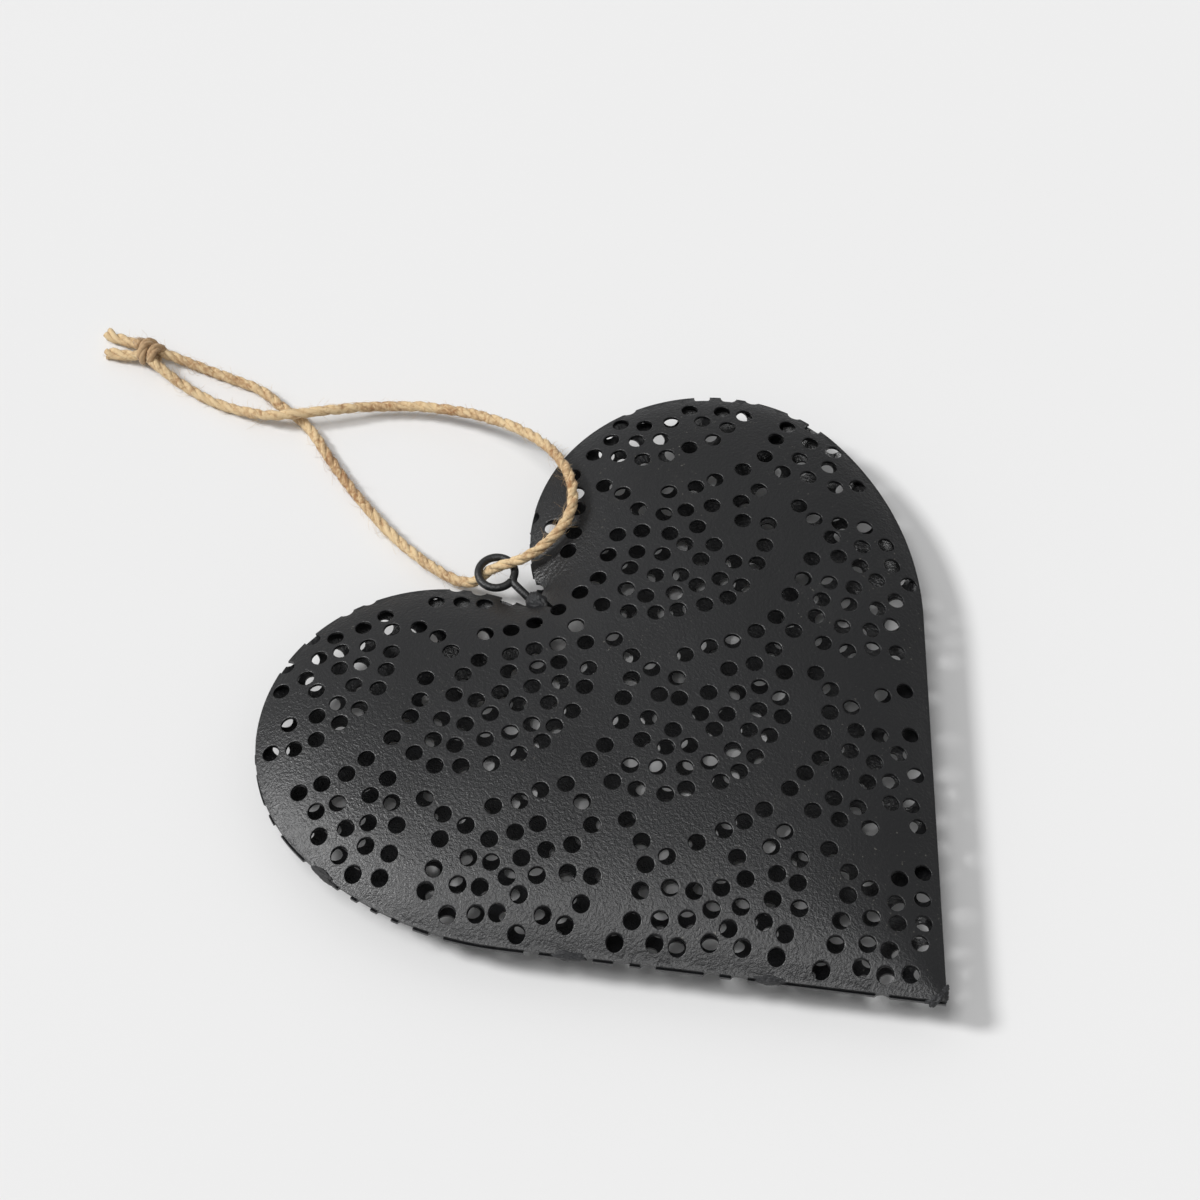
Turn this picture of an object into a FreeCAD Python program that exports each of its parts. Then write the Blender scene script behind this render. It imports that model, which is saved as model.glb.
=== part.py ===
import FreeCAD, Part
import math
import os
from FreeCAD import Vector

# A pierced tin heart: two domed pressings soldered rim to rim, hung by a wire eye and a loop of twine.
# Millimetres. The heart lies on its back: +X right, +Y towards the lobes, +Z out of its front.

# Heart outline, seen from the front
LOBE_RADIUS = 23.8
LOBE_OFFSET = 23.6  # from a lobe's centre to the long axis
SHOULDER_RADIUS = 43.8
FLANK_ANGLE = 40.5  # degrees between a straight flank and the long axis

# Pressing
SHEET = 0.5
DOME_HEIGHT = 6.4  # from the seam to the press tool's crown
DOME_FULLNESS = 0.4  # how much steeper the press tool is at the rim than a dome from the rim's nearness alone
RIM_LIP = 0.45  # upright edge that the dome springs from
CLEFT_EASE = 1.2  # the press rounds the cleft off where it is narrower than twice this
NET_STEP = 12.0  # spacing of the points that carry the dome's surface
NET_MARGIN = 8.0  # how far they run past the heart
CROWN_PROBE_SHARES = (0.3, 0.4, 0.5, 0.6, 0.7, 0.8)  # of the flank's drop, where the crown is sought
DEEPEST_SHARE = 0.15  # of the dome's height, how far its surface runs on below the seam
RIM_POINTS = 600
CUT_OVERRUN = 4.0

# Piercing: rows of fish scales, each filled with rings of holes and set off by a plain band
HOLE_DIAMETER = 2.2
HOLE_SIDES = 4
HOLE_PITCH = 3.4
SCALE_RADIUS = 14.9
RING_STEP = 3.27
RING_COUNT = 5
BACK_RING_COUNT = 1
SCALE_BAND = 6.4
CREST_HOLES = 5  # on each side of a scale's crest
CREST_CLEAR_SHARE = 0.75  # of the hole pitch, kept free between a ring's end and the crest
COLUMN_PITCH = 33.1
ROW_PITCH = 20.7
ROW_DRIFT = -0.5  # sideways error of each row against the one above
PATTERN_TURN = 1.4  # degrees
PATTERN_X = 1.67  # a scale's centre, against the heart's long axis
PATTERN_DROP = 17.12  # and below its widest line
RIM_MARGIN = 0.2  # least metal between a hole and the rim
BITE_SHARE = 0.6  # a hole opens the rim where its centre is nearer to it than this share of its radius

# Hanging eye
WIRE_DIAMETER = 1.1
WIRE_SIDES = 6
EYE_RADIUS = 2.45  # to the wire's centre
EYE_RISE = 15.3  # eye's centre above the widest line
EYE_OFFSET = -0.6
NECK_RADIUS = 1.3
EYE_SWEEP = 315.0  # degrees
WEDGE_GAP = 0.06  # between the stem's end and each lobe

# Solder
SOLDER_GAP = 0.05
BEAD_FOOT = 0.3
BEAD_TOP = 8.6  # above the widest line
BEAD_DEPTH = 6.4
BEAD_DIP = 0.9
TACK_LENGTH = 4.6
TACK_WIDTH = 0.5
TACK_HEIGHT = 2.4
TACK_BITE = 0.6  # how far a lump's back lies inside the rim before it is fitted to it
TACK_TAPER_SHARE = 0.6
TACK_PROFILE_SHARES = ((-0.5, 0), (-0.36, 0.66), (-0.13, 1), (0.13, 1), (0.36, 0.66), (0.5, 0))
TACK_SHARES = (0.484, 0.70, 0.861)  # of the left side's length, from the cleft to the tip

# Twine
TWINE_DIAMETER = 1.5
TWINE_SIDES = 6
TWINE_SEAT = 1.1  # how far the twine lies off the eye's centre, against the ring
ARC_SHARE = 0.45  # of the shorter run, taken up by the arc at each point
LEVEL_SHARE = 0.001
KNOT_DIAMETER = 4.3
KNOT_SHARES = ((0, 0.62), (0.22, 1), (0.46, 0.84), (0.7, 1), (1, 0.55))  # of its length and diameter
KNOT_START = (-11.0, 77.2, 2.15)
KNOT_END = (-12.7, 81.4, 2.15)

# The twine's routes, against the middle of the widest line and the floor. Both sides start in the eye:
# the long one goes out over the right lobe and crosses the short one on its way to the knot.
LONG_ROUTE = [
    (3.2, 12.6, 10.6),
    (10.2, 12.3, 12.6),
    (14.6, 16.6, 12.2),
    (16.7, 22.4, 10.8),
    (17.3, 28.9, 8.2),
    (15.9, 36.6, 5.2),
    (11.8, 44.7, 3.4),
    (6.2, 50.3, 4.0),
    (1.0, 53.4, 5.6),
    (-5.4, 57.6, 5.6),
    (-7.4, 61.6, 3.4),
    (-9.2, 65.2, 0.8),
    (-11.5, 71.8, 0.9),
    (-12.4, 78.4, 2.1),
]
SHORT_ROUTE = [
    (-3.6, 17.6, 3.1),
    (-5.1, 23.6, 2.3),
    (-5.4, 31.2, 1.0),
    (-5.0, 39.5, 0.8),
    (-3.9, 47.6, 0.8),
    (-2.3, 54.5, 0.8),
    (-3.2, 59.5, 1.0),
    (-3.4, 63.6, 1.2),
    (-5.4, 68.3, 0.8),
    (-8.1, 74.2, 1.0),
    (-10.8, 79.0, 2.1),
]
LONG_TAIL = [
    (-11.3, 80.3, 2.1),
    (-12.8, 83.3, 1.2),
    (-13.7, 86.5, 0.8),
]
SHORT_TAIL = [
    (-12.9, 79.6, 2.1),
    (-14.6, 81.6, 1.2),
    (-15.7, 83.9, 0.8),
]

TOLERANCE = 0.05  # how near its edge a point still counts as inside

# Places worked out from the sizes above
FLANK = math.radians(FLANK_ANGLE)
HOLE_RADIUS = HOLE_DIAMETER / 2
WIRE_RADIUS = WIRE_DIAMETER / 2
TWINE_RADIUS = TWINE_DIAMETER / 2
WIDEST_HALF = LOBE_OFFSET + LOBE_RADIUS
CLEFT_RISE = math.sqrt(LOBE_RADIUS**2 - LOBE_OFFSET**2)
SHOULDER_OFFSET = WIDEST_HALF - SHOULDER_RADIUS
FLANK_X = SHOULDER_OFFSET + SHOULDER_RADIUS * math.cos(FLANK)
FLANK_DROP = SHOULDER_RADIUS * math.sin(FLANK)
TIP_DROP = FLANK_DROP + FLANK_X / math.tan(FLANK)
# The widest line is placed so that the origin is under the middle of the length from lobes to tip lump
WIDEST_Y = (TIP_DROP + TACK_WIDTH - LOBE_RADIUS) / 2


def on_heart(x, rise, z):
    """A point given against the middle of the widest line."""
    return Vector(x, WIDEST_Y + rise, z)


def polar(centre, radius, turn):
    """The point at a radius from a centre, turn radians anticlockwise from +X."""
    return centre + Vector(radius * math.cos(turn), radius * math.sin(turn), 0)


def arc(centre, radius, start, end):
    """A circular edge in a horizontal plane."""
    middle = (start + end) / 2
    return Part.Arc(*[polar(centre, radius, turn) for turn in (start, middle, end)]).toShape()


def half_outline(side):
    """One side of the heart's outline from the cleft to the tip, side being 1 for right and -1 for left."""
    lobe = on_heart(LOBE_OFFSET, 0, 0)
    shoulder = on_heart(SHOULDER_OFFSET, 0, 0)
    cleft_turn = math.atan2(CLEFT_RISE, -LOBE_OFFSET)
    edges = [
        arc(lobe, LOBE_RADIUS, cleft_turn, 0),
        arc(shoulder, SHOULDER_RADIUS, 0, -FLANK),
        Part.LineSegment(on_heart(FLANK_X, -FLANK_DROP, 0), on_heart(0, -TIP_DROP, 0)).toShape(),
    ]
    if side < 0:
        edges = [edge.mirror(Vector(), Vector(1, 0, 0)) for edge in edges]
    return edges


def outline_face():
    """The heart as a flat face in the seam plane."""
    return Part.Face(Part.Wire(Part.__sortEdges__(half_outline(1) + half_outline(-1))))


class Dome:
    """The pressed form: zero at the rim, one at the crown, from how near the rim lies all round a place."""

    def __init__(self, outline):
        points = outline.OuterWire.discretize(RIM_POINTS)
        eased = [p for p in points if abs(p.x) > CLEFT_EASE or p.y < WIDEST_Y]
        self.rim = eased + eased[:1]
        probes = [on_heart(0, -FLANK_DROP * share, 0) for share in CROWN_PROBE_SHARES]
        self.crown = max(self.spread(p.x, p.y) for p in probes)

    def spread(self, x, y):
        """A length that grows from zero at the rim, and is below zero outside it."""
        nearness = 0
        for a, b in zip(self.rim, self.rim[1:]):
            ax, ay, bx, by = a.x - x, a.y - y, b.x - x, b.y - y
            to_a, to_b = math.hypot(ax, ay), math.hypot(bx, by)
            half_turn = (ax * by - ay * bx) / (to_a * to_b + ax * bx + ay * by)
            nearness += half_turn * (1 / to_a + 1 / to_b)
        return 2 * math.pi / nearness * self.winding()

    def winding(self):
        """1 where the rim's points run anticlockwise, or else -1."""
        area = sum(a.x * b.y - b.x * a.y for a, b in zip(self.rim, self.rim[1:]))
        return math.copysign(1, area)

    def share(self, x, y):
        """The dome's height as a share of the crown's, levelling out below zero outside the rim."""
        share = self.spread(x, y) / self.crown
        if 0 <= share <= 1 + DEEPEST_SHARE:
            return share + DOME_FULLNESS * share * (1 - share)
        return -abs(share) / math.sqrt(1 + (share / DEEPEST_SHARE) ** 2)

    def face(self, thickness):
        """The sheet's outer face, or the face that lies thickness below it, over more than the heart."""
        columns = math.ceil((WIDEST_HALF + NET_MARGIN) / NET_STEP)
        rows = math.ceil((LOBE_RADIUS + TIP_DROP + 2 * NET_MARGIN) / NET_STEP)
        xs = [column * NET_STEP for column in range(-columns, columns + 1)]
        ys = [on_heart(0, -TIP_DROP - NET_MARGIN, 0).y + row * NET_STEP for row in range(rows + 1)]
        shares = [[self.share(x, y) for y in ys] for x in xs]
        rise = DOME_HEIGHT - RIM_LIP
        poles = []
        for i, x in enumerate(xs):
            poles.append([])
            for j, y in enumerate(ys):
                across = shares[min(i + 1, len(xs) - 1)][j] - shares[max(i - 1, 0)][j]
                along = shares[i][min(j + 1, len(ys) - 1)] - shares[i][max(j - 1, 0)]
                slope = math.hypot(across, along) * rise / (2 * NET_STEP)
                lowered = thickness * math.sqrt(1 + slope**2)
                poles[i].append(Vector(x, y, RIM_LIP + rise * shares[i][j] - lowered))
        surface = Part.BSplineSurface()
        degree = 3
        knots = [[float(k) for k in range(len(line) - degree + 1)] for line in (xs, ys)]
        counts = [[degree + 1] + [1] * (len(line) - 2) + [degree + 1] for line in knots]
        surface.buildFromPolesMultsKnots(poles, *counts, *knots, False, False, degree, degree)
        return surface.toShape()


def scale_holes(rings):
    """Hole places in one scale, against its centre: its rings from the edge inwards, crest and spine."""
    half_pitch = COLUMN_PITCH / 2
    reach = SCALE_RADIUS + SCALE_BAND
    crossing = ROW_PITCH - math.sqrt(reach**2 - half_pitch**2)
    clear = reach + HOLE_PITCH * CREST_CLEAR_SHARE
    places = [(0, crossing + step * HOLE_PITCH) for step in (-1, 0, 1)]
    for ring in range(rings):
        radius = SCALE_RADIUS - ring * RING_STEP
        turn = HOLE_PITCH / radius
        first = turn / 2 if ring == 0 else 0
        count = int(math.pi / turn)
        for step in range(-count, count + 1):
            x = radius * math.sin(first + step * turn)
            y = -radius * math.cos(first + step * turn)
            if math.hypot(abs(x) - half_pitch, y - ROW_PITCH) > clear:
                places.append((x, y))
    start = math.atan2(half_pitch, ROW_PITCH - crossing)
    for step in range(1, CREST_HOLES + 1):
        turn = start - step * HOLE_PITCH / reach
        x = half_pitch - reach * math.sin(turn)
        y = ROW_PITCH - reach * math.cos(turn)
        places += [(x, y), (-x, y)]
    return places


def pattern_holes(rings):
    """Every hole place on and round the heart."""
    turn = math.radians(PATTERN_TURN)
    columns = math.ceil((WIDEST_HALF + SCALE_RADIUS) / COLUMN_PITCH) + 2
    rows = math.ceil((LOBE_RADIUS + TIP_DROP) / ROW_PITCH)
    motif = scale_holes(rings)
    for row in range(-rows, rows + 1):
        for column in range(-columns - rows, columns + rows + 1):
            centre_x = PATTERN_X + column * COLUMN_PITCH + row * (COLUMN_PITCH / 2 + ROW_DRIFT)
            centre_y = -PATTERN_DROP - row * ROW_PITCH
            for x, y in motif:
                x, y = centre_x + x, centre_y + y
                yield on_heart(x * math.cos(turn) - y * math.sin(turn), x * math.sin(turn) + y * math.cos(turn), 0)


def polygon(centre, along, radius, sides):
    """A closed wire with its corners at a radius round a centre, square to a direction."""
    side = along.cross(Vector(0, 0, 1))
    if side.Length < along.Length * LEVEL_SHARE:
        side = Vector(1, 1, 0)
    side = side.normalize()
    up = side.cross(along).normalize()
    turns = [2 * math.pi * corner / sides for corner in range(sides)]
    corners = [centre + side * radius * math.cos(turn) + up * radius * math.sin(turn) for turn in turns]
    return Part.makePolygon(corners + corners[:1])


def blank(outline, rings):
    """The heart-shaped blank with its holes punched, flat."""
    corner_radius = HOLE_RADIUS * math.sqrt(2 * math.pi / (HOLE_SIDES * math.sin(2 * math.pi / HOLE_SIDES)))
    rim = outline.OuterWire
    holes = []
    for place in pattern_holes(rings):
        inset = rim.distToShape(Part.Vertex(place))[0]
        if not outline.isInside(place, TOLERANCE, True):
            inset = -inset
        whole = inset > corner_radius + RIM_MARGIN
        opens_rim = abs(inset) < BITE_SHARE * HOLE_RADIUS
        if whole or opens_rim:
            holes.append(Part.Face(polygon(place, Vector(0, 0, 1), corner_radius, HOLE_SIDES)))
    punched = outline.cut(Part.makeCompound(holes))
    return max(punched.Faces, key=lambda face: face.Area)


def pressing(outline, dome, rings):
    """One domed half, its rim flat on the seam plane and its crown up."""
    depth = Vector(0, 0, -DOME_HEIGHT - CUT_OVERRUN)
    plate = blank(outline, rings).extrude(Vector(0, 0, DOME_HEIGHT + CUT_OVERRUN))
    return plate.common(dome.face(0).extrude(depth)).cut(dome.face(SHEET).extrude(depth))


def rounded_path(points):
    """Straight runs through the points, joined by tangent arcs, with the arcs' radii."""
    edges = []
    radii = []
    start = points[0]
    for before, corner, after in zip(points, points[1:], points[2:]):
        inward, outward = before - corner, after - corner
        half_turn = (math.pi - inward.getAngle(outward)) / 2
        cut = ARC_SHARE * min(inward.Length, outward.Length)
        radius = cut / math.tan(half_turn)
        inward, outward = inward.normalize(), outward.normalize()
        enter, leave = corner + inward * cut, corner + outward * cut
        middle = corner + (inward + outward).normalize() * radius * (1 / math.cos(half_turn) - 1)
        edges += [Part.LineSegment(start, enter).toShape(), Part.Arc(enter, middle, leave).toShape()]
        radii.append(radius)
        start = leave
    edges.append(Part.LineSegment(start, points[-1]).toShape())
    return Part.Wire(edges), radii


def tube(name, points):
    """A stretch of twine along a rounded path. Prints its radii and compares its volume with its section's sweep."""
    path, radii = rounded_path(points)
    section = polygon(points[0], points[1] - points[0], TWINE_RADIUS, TWINE_SIDES)
    body = path.makePipeShell([section], True, False)
    expected = Part.Face(section).Area * path.Length
    print(name, "length", round(path.Length, 1), "volume share", round(body.Volume / expected, 3))
    print(name, "arc radii", [round(radius, 1) for radius in radii])
    return body


def hanging_eye(seam):
    """A stem from between the lobes that bends aside and turns back into a ring."""
    gap_half = WIRE_RADIUS + WEDGE_GAP
    foot_rise = math.sqrt(LOBE_RADIUS**2 - (LOBE_OFFSET - gap_half) ** 2)
    ring_centre = on_heart(EYE_OFFSET, EYE_RISE, seam)
    across = NECK_RADIUS - EYE_OFFSET
    neck_drop = math.sqrt((EYE_RADIUS + NECK_RADIUS) ** 2 - across**2)
    neck_centre = ring_centre + Vector(across, -neck_drop, 0)
    lean = math.atan2(neck_drop, across)
    neck = arc(neck_centre, NECK_RADIUS, math.pi, math.pi - lean)
    ring = arc(ring_centre, EYE_RADIUS, -lean, math.radians(EYE_SWEEP) - lean)
    foot = on_heart(0, foot_rise, seam)
    stem = Part.LineSegment(foot, neck_centre - Vector(NECK_RADIUS, 0, 0)).toShape()
    section = polygon(foot, Vector(0, 1, 0), WIRE_RADIUS, WIRE_SIDES)
    return Part.Wire([stem, neck, ring]).makePipeShell([section], True, False)


def cleft_solder(seam, wire):
    """The bead that fills the notch between the lobes and holds the eye's stem."""
    radius = LOBE_RADIUS + SOLDER_GAP
    foot_half = BEAD_FOOT / 2
    foot_rise = math.sqrt(radius**2 - (LOBE_OFFSET - foot_half) ** 2)
    top_half = LOBE_OFFSET - math.sqrt(radius**2 - BEAD_TOP**2)
    base = seam - BEAD_DEPTH / 2
    lobe = on_heart(LOBE_OFFSET, 0, base)
    turns = [math.atan2(rise, half - LOBE_OFFSET) for rise, half in ((foot_rise, foot_half), (BEAD_TOP, top_half))]
    right = arc(lobe, radius, *turns)
    left = right.mirror(Vector(), Vector(1, 0, 0))
    corners = [on_heart(x, BEAD_TOP, base) for x in (top_half, -top_half)]
    top = Part.Arc(corners[0], on_heart(0, BEAD_TOP - BEAD_DIP, base), corners[1]).toShape()
    feet = [on_heart(x, foot_rise, base) for x in (foot_half, -foot_half)]
    foot = Part.LineSegment(*feet).toShape()
    profile = Part.Face(Part.Wire(Part.__sortEdges__([right, top, left, foot])))
    return profile.extrude(Vector(0, 0, BEAD_DEPTH)).cut(wire)


def tack(place, along, outward, seam, grown):
    """A lump of solder across the seam, outside the rim."""
    back = place - outward * TACK_BITE
    profiles = []
    for level, taper_share in ((-1, TACK_TAPER_SHARE), (0, 1), (1, TACK_TAPER_SHARE)):
        centre = back + Vector(0, 0, seam + level * TACK_HEIGHT / 2)
        length, width = TACK_LENGTH * taper_share, (TACK_WIDTH + TACK_BITE) * taper_share
        corners = [centre + along * length * x + outward * width * y for x, y in TACK_PROFILE_SHARES]
        profiles.append(Part.makePolygon(corners + corners[:1]))
    return Part.makeLoft(profiles, True, True).cut(grown)


def rim_tacks(outline, seam):
    """Solder lumps at shares of the left side's length, and one at the tip."""
    grown = outline.makeOffset2D(SOLDER_GAP).extrude(Vector(0, 0, seam * 2))
    tacks = {"solder_tack_tip": tack(on_heart(0, -TIP_DROP, 0), Vector(1, 0, 0), Vector(0, -1, 0), seam, grown)}
    wire = Part.Wire(half_outline(-1))
    for number, share in enumerate(TACK_SHARES, 1):
        rest = share * wire.Length
        for edge in wire.OrderedEdges:
            if rest <= edge.Length:
                break
            rest -= edge.Length
        place = edge.valueAt(edge.getParameterByLength(rest))
        along = edge.tangentAt(edge.getParameterByLength(rest))
        outward = along.cross(Vector(0, 0, 1))
        if outward.x > 0:
            outward = outward * -1
        tacks[f"solder_tack_{number}"] = tack(place, along, outward, seam, grown)
    return tacks


def knot(start, end, strands):
    """The knot's lump on the line from its strand side to its tail side, with the strands let into it."""
    along = end - start
    sections = []
    for station, share in KNOT_SHARES:
        sections.append(polygon(start + along * station, along, KNOT_DIAMETER / 2 * share, TWINE_SIDES))
    lump = Part.makeLoft(sections, True, True)
    for strand in strands:
        lump = lump.cut(strand)
    return lump


def main():
    """Build each piece and write it to its own file."""
    outline = outline_face()
    dome = Dome(outline)
    front = pressing(outline, dome, RING_COUNT)
    back = pressing(outline, dome, BACK_RING_COUNT)
    seam = back.optimalBoundingBox(False).ZMax
    back.rotate(Vector(), Vector(0, 1, 0), 180)
    wire = hanging_eye(seam)
    eye = (EYE_OFFSET, EYE_RISE + TWINE_SEAT, seam)
    routes = {
        "twine_long_side": [eye] + LONG_ROUTE,
        "twine_short_side": [eye] + SHORT_ROUTE,
        "twine_long_tail": LONG_TAIL,
        "twine_short_tail": SHORT_TAIL,
    }
    twine = {name: tube(name, [on_heart(*point) for point in route]) for name, route in routes.items()}
    pieces = {
        "front_shell": front.translated(Vector(0, 0, seam)),
        "back_shell": back.translated(Vector(0, 0, seam)),
        "hanging_eye": wire,
        "cleft_solder": cleft_solder(seam, wire),
        "twine_knot": knot(on_heart(*KNOT_START), on_heart(*KNOT_END), twine.values()),
    }
    pieces.update(rim_tacks(outline, seam))
    pieces.update(twine)
    print("seam height", round(seam, 3))
    os.makedirs("parts", exist_ok=True)
    for name, shape in pieces.items():
        shape.exportStep(f"parts/{name}.step")
        print(name, "solids", len(shape.Solids), "valid", shape.isValid(), "volume", round(shape.Volume, 1))


main()
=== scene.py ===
import logging
import math
import random
from dataclasses import dataclass, field
from enum import Enum

import bmesh
import bpy
import numpy as np
from mathutils import Matrix, Vector, noise
from mathutils.geometry import delaunay_2d_cdt


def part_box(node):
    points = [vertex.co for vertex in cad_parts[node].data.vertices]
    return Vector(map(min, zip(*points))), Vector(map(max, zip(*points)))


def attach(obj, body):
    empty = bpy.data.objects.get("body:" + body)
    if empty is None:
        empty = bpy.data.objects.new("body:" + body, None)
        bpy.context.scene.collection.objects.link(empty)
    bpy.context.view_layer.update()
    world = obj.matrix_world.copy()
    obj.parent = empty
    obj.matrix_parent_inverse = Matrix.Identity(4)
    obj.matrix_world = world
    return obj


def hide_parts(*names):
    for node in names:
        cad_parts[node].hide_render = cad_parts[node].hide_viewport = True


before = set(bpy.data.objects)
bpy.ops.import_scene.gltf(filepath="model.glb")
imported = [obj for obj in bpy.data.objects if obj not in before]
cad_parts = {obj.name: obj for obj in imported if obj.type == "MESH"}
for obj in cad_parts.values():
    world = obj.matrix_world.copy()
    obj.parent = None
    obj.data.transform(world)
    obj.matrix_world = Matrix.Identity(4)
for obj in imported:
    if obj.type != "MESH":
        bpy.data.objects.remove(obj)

# A pierced, black-coated tin heart on its back on a pale table, with its jute hanging loop.
# Metres, in the frame of the model: +X right, +Y towards the lobes, +Z out of the heart's front.

Colour = tuple[float, float, float]
Layer = bmesh.types.BMLayerItem
Material = bpy.types.Material
Mesh = bmesh.types.BMesh
Piece = bpy.types.Object
Socket = bpy.types.NodeSocket

LOG = logging.getLogger("pierced_heart")
MM = 0.001
BODY = "root"
TINY = 1e-7
WELD = 0.001 * MM
BLOCK = 2000  # places worked out at a time
CURVE_STEPS = 24
FEWEST_STEPS = 4


class Side(Enum):
    """Which half of the heart a pressing is."""

    FRONT = 1
    BACK = -1


@dataclass(frozen=True)
class HeartOutline:
    """The heart's outline: round lobes, wide shoulders and straight flanks to the tip."""

    lobe_radius: float = 23.8 * MM
    lobe_offset: float = 23.6 * MM
    shoulder_radius: float = 43.8 * MM
    flank_angle: float = math.radians(40.5)
    tip_lump: float = 0.5 * MM
    point_spacing: float = 0.7 * MM

    @property
    def shoulder_offset(self) -> float:
        """The shoulder arc's centre, against the long axis."""
        return self.lobe_offset + self.lobe_radius - self.shoulder_radius

    @property
    def flank_start(self) -> Vector:
        """Where the right flank leaves the shoulder, against the middle of the widest line."""
        reach, angle = self.shoulder_radius, self.flank_angle
        return Vector((self.shoulder_offset + reach * math.cos(angle), -reach * math.sin(angle)))

    @property
    def tip_drop(self) -> float:
        """How far the tip lies below the widest line."""
        return -self.flank_start.y + self.flank_start.x / math.tan(self.flank_angle)

    @property
    def widest_y(self) -> float:
        """The widest line's place: the origin is under the middle of the length from lobes to tip lump."""
        return (self.tip_drop + self.tip_lump - self.lobe_radius) / 2

    def place(self, x: float, rise: float, z: float) -> Vector:
        """A point given in millimetres against the middle of the widest line, in the model's frame."""
        return Vector((x * MM, self.widest_y + rise * MM, z * MM))

    def arc(self, centre: Vector, radius: float, start: float, end: float) -> list[Vector]:
        """Points along an arc, without its last.

        Args:
            centre: The arc's centre.
            radius: Its radius.
            start: Angle of the first point, in radians.
            end: Angle just past the last point.

        Returns:
            The points in order.
        """
        steps = max(2, round(abs(end - start) * radius / self.point_spacing))
        turns = [start + (end - start) * step / steps for step in range(steps)]
        return [centre + radius * Vector((math.cos(turn), math.sin(turn))) for turn in turns]

    def points(self) -> list[Vector]:
        """Trace the outline.

        Returns:
            Its points anticlockwise, starting at the tip, in the model's frame.
        """
        lobe, shoulder = Vector((self.lobe_offset, 0)), Vector((self.shoulder_offset, 0))
        cleft_turn = math.pi - math.asin(math.sqrt(1 - (self.lobe_offset / self.lobe_radius) ** 2))
        tip = Vector((0, -self.tip_drop))
        steps = round((self.flank_start - tip).length / self.point_spacing)
        flank = [tip.lerp(self.flank_start, step / steps) for step in range(steps)]
        half = flank + self.arc(shoulder, self.shoulder_radius, -self.flank_angle, 0)
        half += self.arc(lobe, self.lobe_radius, 0, cleft_turn)
        cleft = Vector((0, math.sqrt(self.lobe_radius**2 - self.lobe_offset**2)))
        mirrored = [Vector((-p.x, p.y)) for p in reversed(half[1:])]
        return [p + Vector((0, self.widest_y)) for p in half + [cleft] + mirrored]


@dataclass
class Dome:
    """The pressed form, from how near the rim lies all round a place."""

    outline: HeartOutline
    height: float
    lip: float = 0.45 * MM
    fullness: float = 0.4
    cleft_ease: float = 1.2 * MM
    dent_depth: float = 0.1 * MM
    dent_scale: float = 85.0
    dent_seed: float = 3.7
    dent_fade: float = 4.0
    crown_drops: range = range(5, 40)  # millimetres below the widest line where the crown may lie

    def __post_init__(self) -> None:
        """Find the crown."""
        rim = [p for p in self.outline.points() if abs(p.x) > self.cleft_ease or p.y < self.outline.widest_y]
        self.rim = np.array([tuple(p) for p in rim])
        self.crown = 1.0
        line = np.array([(0.0, self.outline.widest_y - drop * MM) for drop in self.crown_drops])
        self.crown = float(self.share(line).max())

    def share(self, places: np.ndarray) -> np.ndarray:
        """Work out the dome's height as a share of the crown's.

        Args:
            places: Flat places, one in each row.

        Returns:
            A share for each: zero at the rim, below zero outside it.
        """
        result = np.empty(len(places))
        after = np.roll(self.rim, -1, axis=0)
        for start in range(0, len(places), BLOCK):
            block = places[start : start + BLOCK]
            a, b = self.rim[None] - block[:, None], after[None] - block[:, None]
            to_a, to_b = np.hypot(a[..., 0], a[..., 1]), np.hypot(b[..., 0], b[..., 1])
            cross = a[..., 0] * b[..., 1] - a[..., 1] * b[..., 0]
            dot = (a * b).sum(-1)
            with np.errstate(divide="ignore", invalid="ignore"):
                near = (cross / (to_a * to_b + dot) * (1 / to_a + 1 / to_b)).sum(-1)
                result[start : start + BLOCK] = 2 * math.pi / near / self.crown
        return np.nan_to_num(result, nan=0.0, posinf=0.0, neginf=0.0)

    def heights(self, places: np.ndarray) -> np.ndarray:
        """Work out how high the sheet's outer face lies, with its shallow dents.

        Args:
            places: Flat places, one in each row.

        Returns:
            Each place's height above the seam.
        """
        share = np.clip(self.share(places), 0, 1)
        rise = (self.height - self.lip) * (share + self.fullness * share * (1 - share))
        spots = [Vector((x, y, self.dent_seed * MM)) * self.dent_scale for x, y in places]
        dents = np.array([noise.noise(spot) for spot in spots])
        return self.lip + rise - self.dent_depth * (1 + dents) * np.minimum(share * self.dent_fade, 1)


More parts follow.
